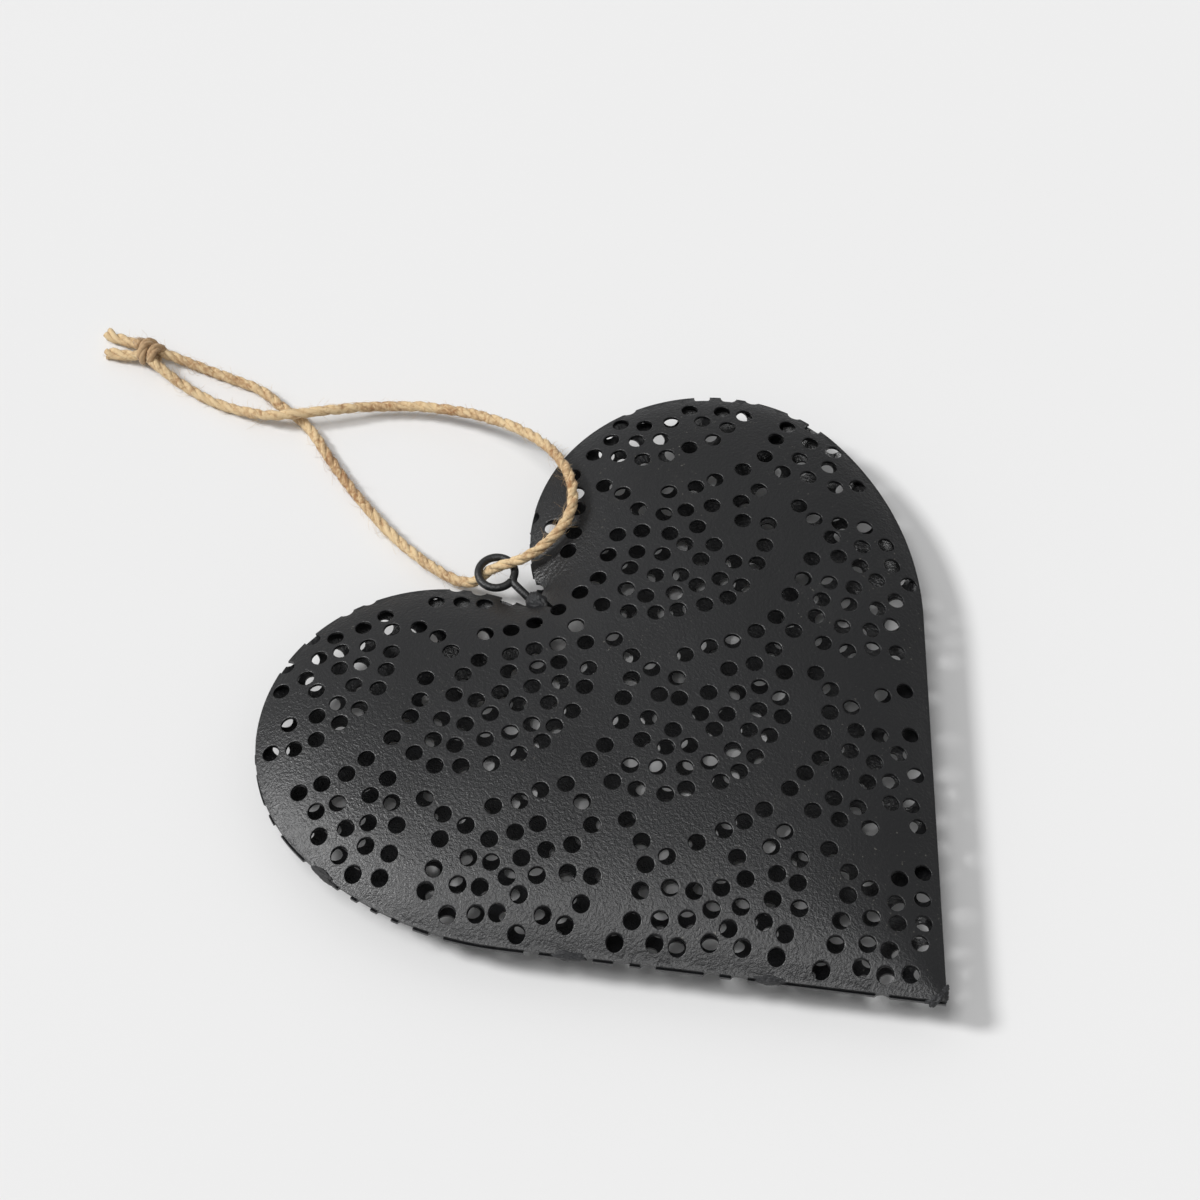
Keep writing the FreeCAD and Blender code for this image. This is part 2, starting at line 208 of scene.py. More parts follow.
@dataclass(frozen=True)
class Piercing:
    """Rows of fish scales, each filled with rings of punched holes."""

    outline: HeartOutline
    hole_radius: float = 1.1 * MM
    pitch: float = 3.4 * MM
    scale_radius: float = 14.9 * MM
    ring_step: float = 3.27 * MM
    rings: int = 5
    band: float = 6.4 * MM
    crest_holes: int = 5
    crest_clear_share: float = 0.75
    column_pitch: float = 33.1 * MM
    row_pitch: float = 20.7 * MM
    row_drift: float = -0.5 * MM
    turn: float = math.radians(1.4)
    start: Vector = field(default_factory=lambda: Vector((1.67 * MM, -17.12 * MM)))
    rows_each_way: int = 4
    scatter: float = 0.3 * MM
    seed: int = 7

    def motif(self) -> list[Vector]:
        """Lay out one scale.

        Returns:
            The places of the holes in its spine, rings and crest.
        """
        half = self.column_pitch / 2
        reach = self.scale_radius + self.band
        crossing = self.row_pitch - math.sqrt(reach**2 - half**2)
        clear = reach + self.pitch * self.crest_clear_share
        places = [Vector((0, crossing + step * self.pitch)) for step in (-1, 0, 1)]
        for ring in range(self.rings):
            radius = self.scale_radius - ring * self.ring_step
            turn = self.pitch / radius
            first = turn / 2 if ring == 0 else 0
            count = int(math.pi / turn)
            for step in range(-count, count + 1):
                angle = first + step * turn
                place = Vector((radius * math.sin(angle), -radius * math.cos(angle)))
                if math.hypot(abs(place.x) - half, place.y - self.row_pitch) > clear:
                    places.append(place)
        start = math.atan2(half, self.row_pitch - crossing)
        for step in range(1, self.crest_holes + 1):
            angle = start - step * self.pitch / reach
            x, y = half - reach * math.sin(angle), self.row_pitch - reach * math.cos(angle)
            places += [Vector((x, y)), Vector((-x, y))]
        return places

    def holes(self) -> list[Vector]:
        """Repeat the scales in rows, each hole punched a little off its mark.

        Returns:
            Every hole place near the heart, in the model's frame.
        """
        luck = random.Random(self.seed)
        turned = Matrix.Rotation(self.turn, 2)
        found = []
        for row in range(-self.rows_each_way, self.rows_each_way + 1):
            for column in range(-2 * self.rows_each_way, 2 * self.rows_each_way + 1):
                centre = self.start + Vector((column * self.column_pitch, 0))
                centre += row * Vector((self.column_pitch / 2 + self.row_drift, -self.row_pitch))
                for place in self.motif():
                    off = Vector((luck.gauss(0, self.scatter), luck.gauss(0, self.scatter)))
                    found.append(turned @ (centre + place + off) + Vector((0, self.outline.widest_y)))
        return found


def object_from(bm: Mesh, name: str, material: Material) -> Piece:
    """Make a smooth-shaded object from a finished bmesh.

    Args:
        bm: The bmesh, which is freed.
        name: The object's name.
        material: Its material.

    Returns:
        The object, linked to the scene.
    """
    mesh = bpy.data.meshes.new(name)
    bm.to_mesh(mesh)
    bm.free()
    mesh.materials.append(material)
    mesh.shade_smooth()
    piece = bpy.data.objects.new(name, mesh)
    bpy.context.scene.collection.objects.link(piece)
    return piece


def settle(piece: Piece, slot: str, *nodes: str) -> None:
    """Fix a piece to the heart, hide the nodes that it stands for, and log it.

    Args:
        piece: The finished piece.
        slot: Not used.
        nodes: The nodes that it replaces.
    """
    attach(piece, BODY)
    if nodes:
        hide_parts(*nodes)
    LOG.info("%s: %d vertices", piece.name, len(piece.data.vertices))


def new_verts(result: dict) -> list[bmesh.types.BMVert]:
    """The vertices in a bmesh operator's result."""
    return [g for g in result["geom"] if isinstance(g, bmesh.types.BMVert)]


def new_edges(result: dict) -> list[bmesh.types.BMEdge]:
    """The edges in a bmesh operator's result."""
    return [g for g in result["geom"] if isinstance(g, bmesh.types.BMEdge)]


def set_round(vert: bmesh.types.BMVert, centre: Vector, reach: float, depth: float) -> None:
    """Move a vertex of a hole's edge to a distance from its centre and a depth in the sheet."""
    middle = centre.to_3d()
    out = (Vector((vert.co.x, vert.co.y, 0)) - middle).normalized()
    vert.co = middle + out * reach - Vector((0, 0, depth))


class Nodes:
    """A material's node tree, with the few kinds of node that the finishes share."""

    def __init__(self, name: str) -> None:
        """Make the material with a plain shader."""
        self.material = bpy.data.materials.new(name)
        self.material.use_nodes = True
        self.tree = self.material.node_tree
        self.shader = self.tree.nodes["Principled BSDF"]
        self.place = self.tree.nodes.new("ShaderNodeTexCoord").outputs["Object"]

    def link(self, source: Socket, target: Socket) -> None:
        """Join two sockets."""
        self.tree.links.new(source, target)

    def noise(self, scale: float, detail: float, distortion: float = 0.0) -> Socket:
        """Spread noise over the object.

        Args:
            scale: Waves per metre.
            detail: Finer layers.
            distortion: How far it swirls.

        Returns:
            Its value.
        """
        node = self.tree.nodes.new("ShaderNodeTexNoise")
        node.inputs["Scale"].default_value = scale
        node.inputs["Detail"].default_value = detail
        node.inputs["Distortion"].default_value = distortion
        self.link(self.place, node.inputs["Vector"])
        return node.outputs["Fac"]

    def ramp(self, source: Socket, *stops: tuple[float, Colour]) -> Socket:
        """Turn a value into colours.

        Args:
            source: The value.
            stops: Each stop's position and colour.

        Returns:
            The colour.
        """
        node = self.tree.nodes.new("ShaderNodeValToRGB")
        while len(node.color_ramp.elements) < len(stops):
            node.color_ramp.elements.new(1.0)
        for element, (position, colour) in zip(node.color_ramp.elements, stops):
            element.position = position
            element.color = (*colour, 1)
        self.link(source, node.inputs["Fac"])
        return node.outputs["Color"]

    def mask(self, source: Socket, low: float, high: float) -> Socket:
        """Black up to one value and white from another."""
        return self.ramp(source, (low, (0, 0, 0)), (high, (1, 1, 1)))

    def mix(self, share: Socket, a: Socket, b: Colour) -> Socket:
        """Lay one colour over another.

        Args:
            share: How much of the upper one shows.
            a: The lower colour.
            b: The upper colour.

        Returns:
            The mix.
        """
        node = self.tree.nodes.new("ShaderNodeMix")
        node.data_type = "RGBA"
        factor = next(s for s in node.inputs if s.name == "Factor" and s.type == "VALUE")
        under, over = (next(s for s in node.inputs if s.name == name and s.type == "RGBA") for name in "AB")
        self.link(share, factor)
        self.link(a, under)
        over.default_value = (*b, 1)
        return next(s for s in node.outputs if s.type == "RGBA")

    def math(self, operation: str, a: Socket, b: float | Socket) -> Socket:
        """Work on two values.

        Args:
            operation: What to do.
            a: The first value.
            b: The second, or a number.

        Returns:
            The result.
        """
        node = self.tree.nodes.new("ShaderNodeMath")
        node.operation = operation
        self.link(a, node.inputs[0])
        if isinstance(b, float):
            node.inputs[1].default_value = b
        else:
            self.link(b, node.inputs[1])
        return node.outputs["Value"]

    def spread(self, source: Socket, low: float, high: float) -> Socket:
        """Stretch a value's 0 to 1 to a range.

        Args:
            source: The value.
            low: What 0 becomes.
            high: What 1 becomes.

        Returns:
            The new value.
        """
        node = self.tree.nodes.new("ShaderNodeMapRange")
        node.inputs["To Min"].default_value = low
        node.inputs["To Max"].default_value = high
        self.link(source, node.inputs["Value"])
        return node.outputs["Result"]

    def bump(self, height: Socket, strength: float, distance: float) -> None:
        """Raise the surface by a value.

        Args:
            height: The value.
            strength: How much of it shows.
            distance: The rise for a value of 1.
        """
        node = self.tree.nodes.new("ShaderNodeBump")
        node.inputs["Strength"].default_value = strength
        node.inputs["Distance"].default_value = distance
        self.link(height, node.inputs["Height"])
        self.link(node.outputs["Normal"], self.shader.inputs["Normal"])


@dataclass(frozen=True)
class BlackCoat:
    """Black powder coat: satin, finely grained, with pale specks and rubbed grey patches."""

    name: str
    tone: float = 0.007
    gloss: float = 0.6
    roughness: float = 0.34
    grain: float = 1.0
    grain_depth: float = 0.085 * MM
    grain_scale: float = 2400.0
    fine_grain: float = 2.6
    fine_share: float = 0.5
    smoother: float = 0.08
    rougher: float = 0.1
    shade: Colour = (0.8, 0.83, 0.95)
    light: Colour = (1.1, 1.15, 1.3)
    cloud_scale: float = 60.0
    cloud_stops: tuple[float, float] = (0.35, 0.7)
    rub: Colour = (3.2, 3.1, 2.9)
    rubbed: float = 0.25
    rub_scale: float = 130.0
    rub_edge: tuple[float, float] = (0.6, 0.75)
    dust: Colour = (0.12, 0.115, 0.1)
    speck_scale: float = 2800.0
    speck_edge: tuple[float, float] = (0.72, 0.77)
    sparse_scale: float = 90.0
    sparse_edge: tuple[float, float] = (0.5, 0.62)

    def tinted(self, share: Colour) -> Colour:
        """The coat's tone with each channel by its share."""
        return tuple(self.tone * channel for channel in share)

    def build(self) -> Material:
        """Make the material."""
        nodes = Nodes(self.name)
        shader = nodes.shader
        shader.inputs["Specular IOR Level"].default_value = self.gloss
        cloud = nodes.noise(self.cloud_scale, detail=4)
        base = nodes.ramp(cloud, *zip(self.cloud_stops, (self.tinted(self.shade), self.tinted(self.light))))
        patch = nodes.mask(nodes.noise(self.rub_scale, detail=6, distortion=0.6), *self.rub_edge)
        colour = nodes.mix(nodes.math("MULTIPLY", patch, self.rubbed), base, self.tinted(self.rub))
        speck = nodes.mask(nodes.noise(self.speck_scale, detail=1), *self.speck_edge)
        sparse = nodes.mask(nodes.noise(self.sparse_scale, detail=3), *self.sparse_edge)
        colour = nodes.mix(nodes.math("MULTIPLY", speck, sparse), colour, self.dust)
        nodes.link(colour, shader.inputs["Base Color"])
        satin = nodes.spread(cloud, self.roughness - self.smoother, self.roughness + self.rougher)
        nodes.link(satin, shader.inputs["Roughness"])
        peel = nodes.noise(self.grain_scale, detail=2)
        fine = nodes.noise(self.grain_scale * self.fine_grain, detail=2)
        height = nodes.math("ADD", peel, nodes.math("MULTIPLY", fine, self.fine_share))
        nodes.bump(height, self.grain, self.grain_depth)
        return nodes.material


@dataclass
class Shell:
    """One domed and pierced pressing, with its sheet's real thickness."""

    side: Side
    outline: HeartOutline
    piercing: Piercing
    seam: float
    height: float
    sheet: float = 0.5 * MM
    grid: float = 1.3 * MM
    row_share: float = 0.87  # pitch of the grid's rows against its columns
    hole_clear: float = 0.3  # room between the grid and a hole, against the grid's pitch
    corners: int = 18
    chord_slack: float = 0.995
    edge_slack: float = 0.02 * MM
    roll: float = 0.17 * MM
    roll_depth: float = 0.14 * MM
    roll_bend: tuple[float, float] = (0.4, 0.3)  # halfway down the roll: shares of its width and depth
    slope_step: float = 0.25 * MM
    rim_margin: float = 0.2 * MM
    hole_gap: float = 0.1 * MM
    bite_share: float = 0.6  # a hole nearer the rim than this share of its radius opens it
    bites_above: float = 25.0 * MM
    back_shift: Vector = field(default_factory=lambda: Vector((-0.22 * MM, -0.1 * MM, 0)))
    teeth_from: float = 0.462  # shares of the way from the cleft to the tip along the rim
    teeth_to: float = 0.565
    tooth_pitch: float = 3.1 * MM

    def ring(self, centre: Vector, radius: float) -> list[Vector]:
        """Points round a hole."""
        turns = [2 * math.pi * corner / self.corners for corner in range(self.corners)]
        return [centre + radius * Vector((math.cos(turn), math.sin(turn))) for turn in turns]

    def extra_bites(self) -> list[Vector]:
        """Space half holes evenly along the stretch of the back's rim that shows past the front's.

        Returns:
            Their centres, on the rim.
        """
        rim = self.outline.points()
        half = rim[: len(rim) // 2 + 1]
        lengths = np.cumsum([0.0] + [(b - a).length for a, b in zip(half, half[1:])])
        first, last = (1 - self.teeth_to) * lengths[-1], (1 - self.teeth_from) * lengths[-1]
        stations = np.arange(first, last, self.tooth_pitch)
        flat = np.array([tuple(p) for p in half])
        return [Vector([np.interp(s, lengths, flat[:, axis]) for axis in range(2)]) for s in stations]

    def sorted_holes(self) -> tuple[list[Vector], list[Vector]]:
        """Sort the pattern's holes.

        Returns:
            The centres of the holes that are whole, and of those that open the rim.
        """
        rim = np.array([tuple(p) for p in self.outline.points()])
        after = np.roll(rim, -1, axis=0)
        along = after - rim
        whole, bites = [], []
        radius = self.piercing.hole_radius
        clear = 2 * (radius + self.roll) + self.hole_gap
        if self.side is Side.BACK:
            bites += self.extra_bites()
        for place in self.piercing.holes():
            point = np.array(tuple(place))
            share = np.clip(((point - rim) * along).sum(1) / (along**2).sum(1), 0, 1)
            gap = float(np.linalg.norm(point - rim - share[:, None] * along, axis=1).min())
            crosses = (rim[:, 1] > point[1]) != (after[:, 1] > point[1])
            with np.errstate(divide="ignore", invalid="ignore"):
                at = rim[:, 0] + (point[1] - rim[:, 1]) / (after[:, 1] - rim[:, 1]) * along[:, 0]
            inside = int((crosses & (point[0] < at)).sum()) % 2 == 1
            free = all((place - other).length > clear for other in whole + bites)
            if free and inside and gap > radius + self.roll + self.rim_margin:
                whole.append(place)
            elif free and gap < self.bite_share * radius:
                if self.side is Side.BACK or point[1] > self.bites_above:
                    bites.append(place)
        return whole, bites

    def plate(self, bm: Mesh, whole: list[Vector], bites: list[Vector]) -> Layer:
        """Fill the outline with faces, leaving the holes out.

        Args:
            bm: The bmesh that gets the faces, flat, on z 0.
            whole: Centres of the holes inside the rim.
            bites: Centres of the holes that open it.

        Returns:
            The vertex layer that holds one more than a hole's number on the vertices round it.
        """
        hole = self.piercing.hole_radius
        edge = hole + self.roll
        places = self.outline.points()
        rim_count = len(places)
        edges = [(i, (i + 1) % rim_count) for i in range(rim_count)]
        for centres, radius in ((whole, edge), (bites, hole)):
            for centre in centres:
                first = len(places)
                places += self.ring(centre, radius)
                edges += [(first + i, first + (i + 1) % self.corners) for i in range(self.corners)]
        centres = np.array([tuple(p) for p in whole + bites])
        low, high = np.array(places).min(0), np.array(places).max(0)
        for row, y in enumerate(np.arange(low[1], high[1], self.grid * self.row_share)):
            for x in np.arange(low[0] + self.grid * 0.5 * (row % 2), high[0], self.grid):
                if np.linalg.norm(centres - (x, y), axis=1).min() > edge + self.hole_clear * self.grid:
                    places.append(Vector((x, y)))
        flat, _, faces, *_ = delaunay_2d_cdt(places, edges, [list(range(rim_count))], 2, TINY)
        chord = math.cos(math.pi / self.corners) * self.chord_slack
        layer = bm.verts.layers.int.new("hole")
        verts = [bm.verts.new((p.x, p.y, 0)) for p in flat]
        for face in faces:
            middle = sum((flat[i] for i in face), Vector((0, 0))) / len(face)
            gaps = np.linalg.norm(centres - tuple(middle), axis=1)
            nearest = int(gaps.argmin())
            if gaps[nearest] > (edge if nearest < len(whole) else hole) * chord:
                bm.faces.new([verts[i] for i in face])
        bmesh.ops.delete(bm, geom=[v for v in bm.verts if not v.link_faces], context="VERTS")
        for vert in bm.verts:
            gaps = np.linalg.norm(centres[: len(whole)] - (vert.co.x, vert.co.y), axis=1)
            if abs(gaps.min() - edge) < self.edge_slack:
                vert[layer] = int(gaps.argmin()) + 1
        return layer

    def blank(self, bm: Mesh, whole: list[Vector], bites: list[Vector]) -> Layer:
        """Make the flat sheet with both its faces, rolled hole edges and walls.

        Args:
            bm: The bmesh that gets the sheet.
            whole: Centres of the holes inside the rim.
            bites: Centres of the holes that open it.

        Returns:
            The vertex layer of hole numbers.
        """
        layer = self.plate(bm, whole, bites)
        faces = list(bm.faces)
        loops = [e for e in bm.edges if e.is_boundary and e.verts[0][layer] and e.verts[1][layer]]
        rim = [e for e in bm.edges if e.is_boundary and not (e.verts[0][layer] and e.verts[1][layer])]
        under = bmesh.ops.duplicate(bm, geom=faces)
        bmesh.ops.reverse_faces(bm, faces=[g for g in under["geom"] if isinstance(g, bmesh.types.BMFace)])
        radius = self.piercing.hole_radius
        for vert in new_verts(under):
            vert.co.z = -self.sheet
            if vert[layer]:
                set_round(vert, whole[vert[layer] - 1], radius, self.sheet)
        width, drop = self.roll_bend
        bend = (radius + width * self.roll, drop * self.roll_depth)
        for reach, depth in (bend, (radius, self.roll_depth), (radius, self.sheet)):
            grown = bmesh.ops.extrude_edge_only(bm, edges=loops)
            loops = new_edges(grown)
            for vert in new_verts(grown):
                set_round(vert, whole[vert[layer] - 1], reach, depth)
        wall = new_verts(bmesh.ops.extrude_edge_only(bm, edges=rim))
        bmesh.ops.translate(bm, verts=wall, vec=(0, 0, -self.sheet))
        bmesh.ops.remove_doubles(bm, verts=bm.verts, dist=WELD)
        return layer

    def press(self, bm: Mesh, layer: Layer, whole: list[Vector]) -> list[Vector]:
        """Draw the flat sheet up into the dome.

        Args:
            bm: The flat sheet.
            layer: Its vertex layer of hole numbers.
            whole: Centres of the numbered holes.

        Returns:
            A normal for each corner of each face, from the dome's own slope.
        """
        dome = Dome(self.outline, self.height)
        bm.verts.index_update()
        flat = np.array([(v.co.x, v.co.y) for v in bm.verts])
        depths = np.array([-v.co.z for v in bm.verts])
        step = self.slope_step
        slope_x = (dome.heights(flat + (step, 0)) - dome.heights(flat - (step, 0))) / (2 * step)
        slope_y = (dome.heights(flat + (0, step)) - dome.heights(flat - (0, step))) / (2 * step)
        lift = dome.heights(flat) - depths * np.sqrt(1 + slope_x**2 + slope_y**2)
        up = np.stack([-slope_x, -slope_y, np.ones(len(flat))], axis=1)
        up /= np.linalg.norm(up, axis=1)[:, None]
        normals = []
        turned = self.side is Side.BACK
        for face in bm.faces:
            face_depths = [depths[v.index] for v in face.verts]
            top, under = max(face_depths) < TINY, min(face_depths) > self.sheet - TINY
            hole = all(v[layer] for v in face.verts)
            for vert in face.verts:
                rise = Vector(up[vert.index])
                if under:
                    rise = -rise
                elif not top and hole:
                    centre = whole[vert[layer] - 1]
                    inward = Vector((centre.x - vert.co.x, centre.y - vert.co.y, 0)).normalized()
                    share = min(depths[vert.index] / self.roll_depth, 1) * math.pi / 2
                    rise = inward * math.sin(share) + rise * math.cos(share)
                elif not top:
                    rise = face.normal.copy()
                normals.append(Vector((-rise.x, rise.y, -rise.z)) if turned else rise)
        for vert, z in zip(bm.verts, lift):
            vert.co.z = max(z, 0.0)
        if turned:
            bmesh.ops.rotate(bm, verts=bm.verts, cent=(0, 0, 0), matrix=Matrix.Rotation(math.pi, 3, "Y"))
            bmesh.ops.translate(bm, verts=bm.verts, vec=self.back_shift)
        bmesh.ops.translate(bm, verts=bm.verts, vec=(0, 0, self.seam))
        return normals

    def build(self, material: Material) -> None:
        """Model the pressing and dress it.

        Args:
            material: Its material.
        """
        whole, bites = self.sorted_holes()
        bm = bmesh.new()
        layer = self.blank(bm, whole, bites)
        normals = self.press(bm, layer, whole)
        name = self.side.name.lower()
        piece = object_from(bm, f"pierced_{name}_shell", material)
        piece.data.normals_split_custom_set(normals)
        settle(piece, "black_tin", f"{name}_shell")


@dataclass(frozen=True)
class Eye:
    """Bent wire eye on a stem between the lobes."""

    outline: HeartOutline
    seam: float
    wire_radius: float = 0.55 * MM
    radius: float = 2.45 * MM
    rise: float = 15.3 * MM
    offset: float = -0.6 * MM
    neck_radius: float = 1.3 * MM
    sweep: float = math.radians(342.0)
    foot_rise: float = 6.0 * MM
    sides: int = 16
    neck_steps: int = 10
    ring_steps: int = 64

    @property
    def centre(self) -> Vector:
        """The eye's centre."""
        return Vector((self.offset, self.outline.widest_y + self.rise, self.seam))

    def build(self, material: Material) -> None:
        """Spin a wire's section up the stem, round the neck and round the ring.

        Args:
            material: The wire's material.
        """
        across = self.neck_radius - self.offset
        drop = math.sqrt((self.radius + self.neck_radius) ** 2 - across**2)
        neck = self.centre + Vector((across, -drop, 0))
        lean = math.atan2(drop, across)
        bm = bmesh.new()
        foot = Vector((0, self.outline.widest_y + self.foot_rise, self.seam))
        level = Matrix.Translation(foot) @ Matrix.Rotation(math.pi / 2, 4, "X")
        bmesh.ops.create_circle(
            bm, cap_ends=False, segments=self.sides, radius=self.wire_radius, matrix=level
        )
        first = list(bm.edges)
        grown = bmesh.ops.extrude_edge_only(bm, edges=first)
        bmesh.ops.translate(bm, verts=new_verts(grown), vec=(0, neck.y - foot.y, 0))
        section = new_edges(grown)
        bends = ((neck, -lean, self.neck_steps), (self.centre, self.sweep, self.ring_steps))
        for centre, turn, steps in bends:
            spun = bmesh.ops.spin(
                bm, geom=section, cent=centre, axis=(0, 0, 1), angle=turn, steps=steps, use_merge=False
            )
            section = [g for g in spun["geom_last"] if isinstance(g, bmesh.types.BMEdge)]
        for ends in (first, section):
            bmesh.ops.contextual_create(bm, geom=ends)
        bmesh.ops.recalc_face_normals(bm, faces=bm.faces)
        piece = object_from(bm, "bent_wire_eye", material)
        settle(piece, "black_wire", "hanging_eye")


@dataclass(frozen=True)
class SolderLump:
    """A rough lump of solder under the black coat."""

    name: str
    node: str
    centre: Vector
    reach: Vector
    along: float
    roughness: float
    seed: float
    grain: float = 1.7
    softness: float = 0.8
    layers: int = 4
    middle: float = 0.1
    subdivisions: int = 5

    def build(self, material: Material) -> None:
        """Model the lump as an uneven ball and dress it.

        Args:
            material: Its material.
        """
        bm = bmesh.new()
        bmesh.ops.create_icosphere(bm, subdivisions=self.subdivisions, radius=1.0)
        turn = Matrix.Rotation(self.along, 3, "Z")
        for vert in bm.verts:
            spot = vert.co * self.grain + Vector((self.seed, self.seed * 2, 0))
            bumps = noise.fractal(spot, self.softness, 2.0, self.layers) - self.middle
            swell = 1 + self.roughness * bumps
            vert.co = self.centre + turn @ (vert.co * swell * self.reach)
        piece = object_from(bm, self.name, material)
        settle(piece, "coated_solder", self.node)


@dataclass(frozen=True)
class JuteFinish:
    """Jute: straw-coloured fibres with browner streaks, matt with a slight sheen."""

    name: str
    pale: Colour = (0.70, 0.53, 0.31)
    brown: Colour = (0.36, 0.19, 0.085)
    stops: tuple[float, float, float] = (0.36, 0.45, 0.54)
    streak_scale: float = 900.0
    streak_share: float = 0.6
    patch_scale: float = 120.0
    patch_share: float = 0.4
    roughness: float = 0.75
    gloss: float = 0.25
    sheen: float = 0.15
    fibre_scale: float = 4200.0
    fibre_strength: float = 0.5
    fibre_depth: float = 0.05 * MM

    def build(self) -> Material:
        """Make the material."""
        nodes = Nodes(self.name)
        shader = nodes.shader
        shader.inputs["Roughness"].default_value = self.roughness
        shader.inputs["Specular IOR Level"].default_value = self.gloss
        shader.inputs["Sheen Weight"].default_value = self.sheen
        streak = nodes.noise(self.streak_scale, detail=5, distortion=1.5)
        patch = nodes.noise(self.patch_scale, detail=3)
        streak = nodes.math("MULTIPLY", streak, self.streak_share)
        mixed = nodes.math("ADD", streak, nodes.math("MULTIPLY", patch, self.patch_share))
        middle = tuple((a + b) / 2 for a, b in zip(self.pale, self.brown))
        colour = nodes.ramp(mixed, *zip(self.stops, (self.brown, middle, self.pale)))
        nodes.link(colour, shader.inputs["Base Color"])
        fibres = nodes.noise(self.fibre_scale, detail=3, distortion=1.0)
        nodes.bump(fibres, self.fibre_strength, self.fibre_depth)
        return nodes.material


@dataclass
class Lay:
    """A sampled centreline with a frame that follows it without twisting."""

    points: list[Vector]

    def __post_init__(self) -> None:
        """Work out lengths, tangents and the frame."""
        ends = [self.points[0]] + self.points + [self.points[-1]]
        self.tangents = [(b - a).normalized() for a, b in zip(ends, ends[2:])]
        self.lengths = [0.0]
        for a, b in zip(self.points, self.points[1:]):
            self.lengths.append(self.lengths[-1] + (b - a).length)
        self.sides = [self.tangents[0].orthogonal().normalized()]
        for tangent in self.tangents[1:]:
            side = self.sides[-1] - tangent * self.sides[-1].dot(tangent)
            self.sides.append(side.normalized())

    def part(self, first: int, last: int) -> "Lay":
        """Cut out a stretch, with the same frame.

        Args:
            first: Number of its first point.
            last: Number just past its last point.

        Returns:
            The stretch.
        """
        part = Lay(self.points[first:last])
        part.tangents, part.sides = self.tangents[first:last], self.sides[first:last]
        part.lengths = self.lengths[first:last]
        return part


def sampled(name: str, points: list[Vector], spacing: float) -> list[Vector]:
    """Points spaced evenly along the NURBS line of a route.

    Args:
        name: Name of the route.
        points: The route's control points.
        spacing: Distance between the samples.

    Returns:
        The samples from the first end to the last.
    """
    curve = bpy.data.curves.new(name, "CURVE")
    curve.dimensions = "3D"
    spline = curve.splines.new("NURBS")
    spline.points.add(len(points) - 1)
    for target, point in zip(spline.points, points):
        target.co = (*point, 1)
    spline.order_u = 3
    spline.use_endpoint_u = True
    spline.resolution_u = CURVE_STEPS
    piece = bpy.data.objects.new(name, curve)
    mesh = bpy.data.meshes.new_from_object(piece)
    line = np.array([tuple(v.co) for v in mesh.vertices])
    bpy.data.objects.remove(piece)
    bpy.data.curves.remove(curve)
    bpy.data.meshes.remove(mesh)
    lengths = np.concatenate([[0], np.cumsum(np.linalg.norm(np.diff(line, axis=0), axis=1))])
    stations = np.linspace(0, lengths[-1], max(round(lengths[-1] / spacing), FEWEST_STEPS) + 1)
    return [Vector([np.interp(s, lengths, line[:, axis]) for axis in range(3)]) for s in stations]


